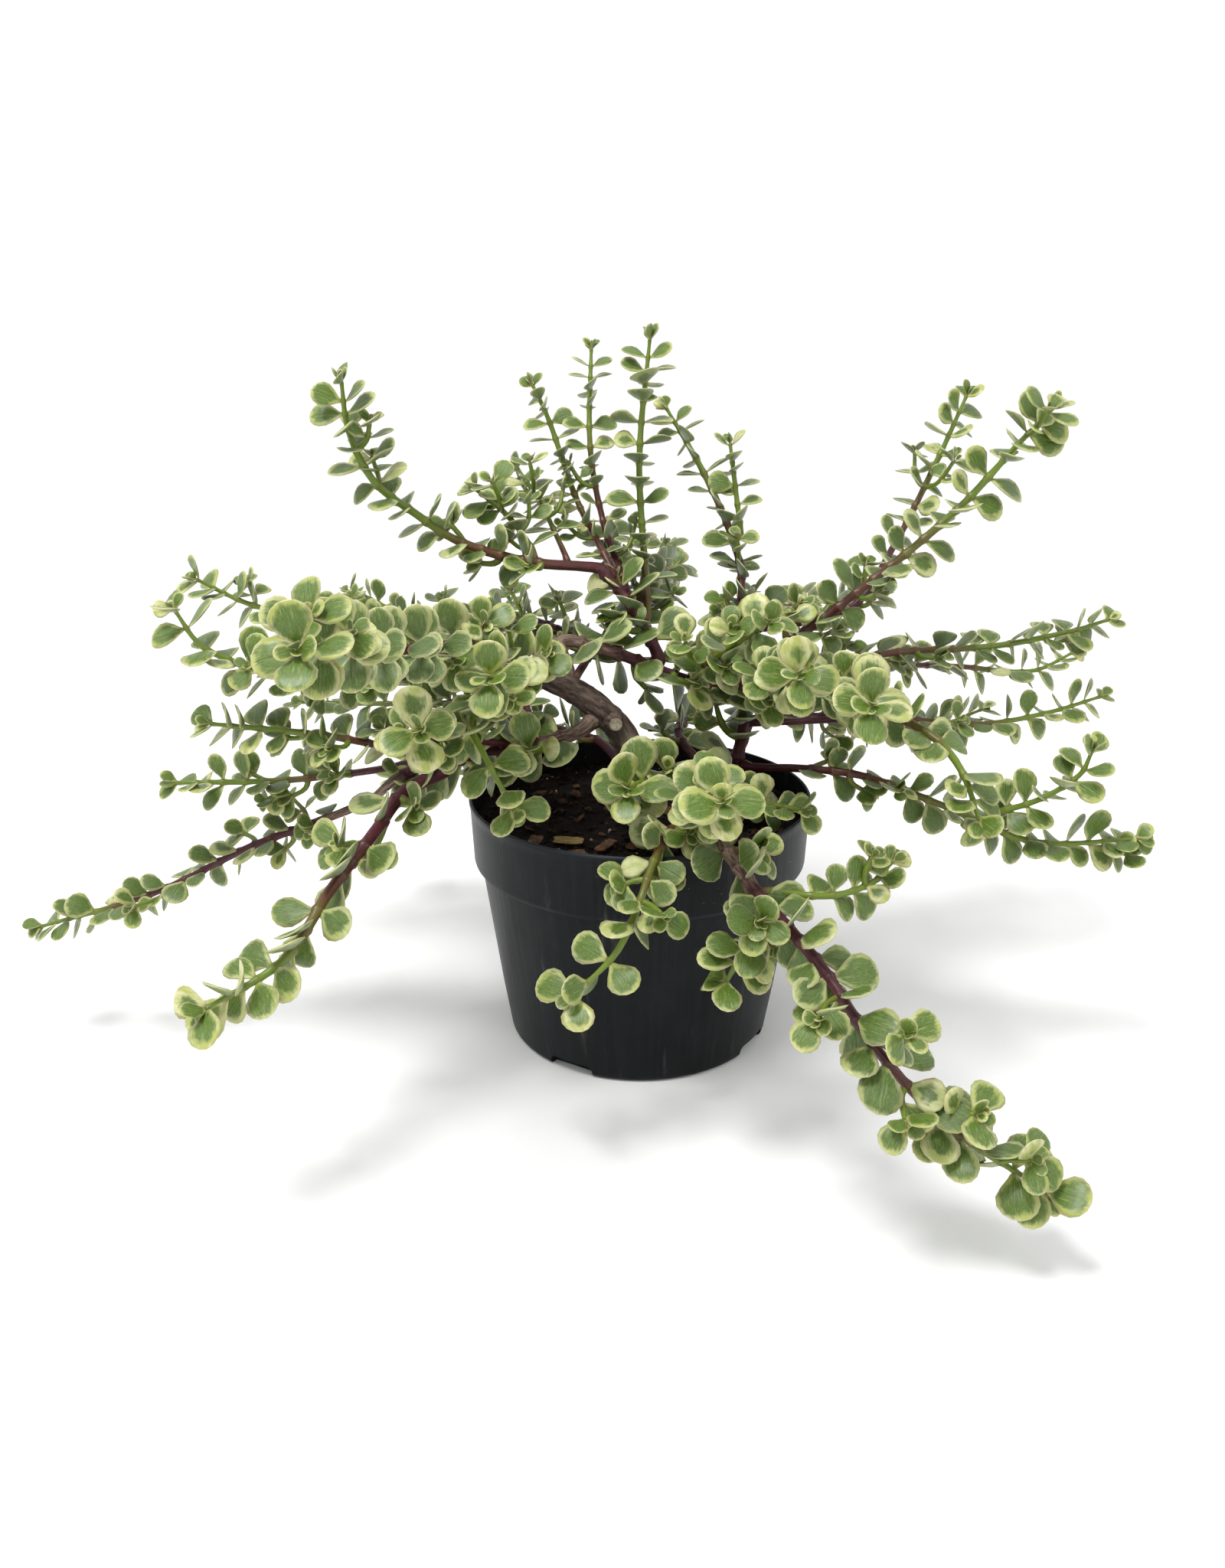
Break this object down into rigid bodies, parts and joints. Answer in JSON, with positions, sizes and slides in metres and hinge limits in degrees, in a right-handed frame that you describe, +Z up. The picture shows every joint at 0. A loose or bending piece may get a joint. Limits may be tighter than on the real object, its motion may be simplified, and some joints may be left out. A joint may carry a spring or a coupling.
{
  "type": "potted jade plant",
  "caption": "Variegated dwarf jade with trailing and upright leafy stems, rooted in a round black plastic nursery pot that stands on its flat base.",
  "frame": {"origin": "middle of the pot's flat underside, on the surface it stands on", "axes": "+Z up, -Y the plant's front, +X its right as seen from the front"},
  "size_m": [0.5037, 0.4083, 0.3149],
  "materials": {
    "pot_plastic": "satin",
    "potting_mix": "matte",
    "bark_chips": "matte",
    "dry_leaf": "matte",
    "bark": "matte",
    "stem_skin": "satin",
    "leaf": "satin"
  },
  "bodies": {
    "root": {"bark_chip_1": "bark_chips", "bark_chip_2": "bark_chips", "bark_chip_3": "bark_chips", "bark_chip_4": "bark_chips", "fallen_leaf": "dry_leaf", "front_limb": "stem_skin", "high_left_limb": "stem_skin", "low_left_limb": "stem_skin", "pot": "pot_plastic", "potting_mix": "potting_mix", "right_limb": "stem_skin", "second_stem": "stem_skin", "shoot_back_crown": "leaf", "shoot_back_high": "leaf", "shoot_back_left_high": "leaf", "shoot_back_left_low": "leaf", "shoot_back_left_trailing": "leaf", "shoot_back_left_upright": "leaf", "shoot_back_right_high": "leaf", "shoot_back_right_low": "leaf", "shoot_back_trailing": "leaf", "shoot_crown_front": "leaf", "shoot_crown_right": "leaf", "shoot_far_left": "leaf", "shoot_far_upper_right": "leaf", "shoot_front_centre": "leaf", "shoot_front_hanging": "leaf", "shoot_front_right_rosette": "leaf", "shoot_front_rosette": "leaf", "shoot_front_side": "leaf", "shoot_front_trailing": "leaf", "shoot_left_back": "leaf", "shoot_left_front_rosette": "leaf", "shoot_left_high": "leaf", "shoot_left_low": "leaf", "shoot_left_mid": "leaf", "shoot_left_near": "leaf", "shoot_left_rim": "leaf", "shoot_left_trailing": "leaf", "shoot_long_upper_left": "leaf", "shoot_over_mix": "leaf", "shoot_right_back": "leaf", "shoot_right_drooping": "leaf", "shoot_right_fork": "leaf", "shoot_right_high": "leaf", "shoot_right_low": "leaf", "shoot_right_mid": "leaf", "shoot_right_rosette": "leaf", "shoot_rim_stub": "leaf", "shoot_top_centre": "leaf", "shoot_top_left": "leaf", "shoot_top_left_short": "leaf", "shoot_top_right": "leaf", "shoot_top_right_side": "leaf", "shoot_top_tall": "leaf", "shoot_upper_left_bush": "leaf", "shoot_upper_right": "leaf", "trunk": "bark", "upper_limb": "stem_skin"}
  },
  "joints": []
}
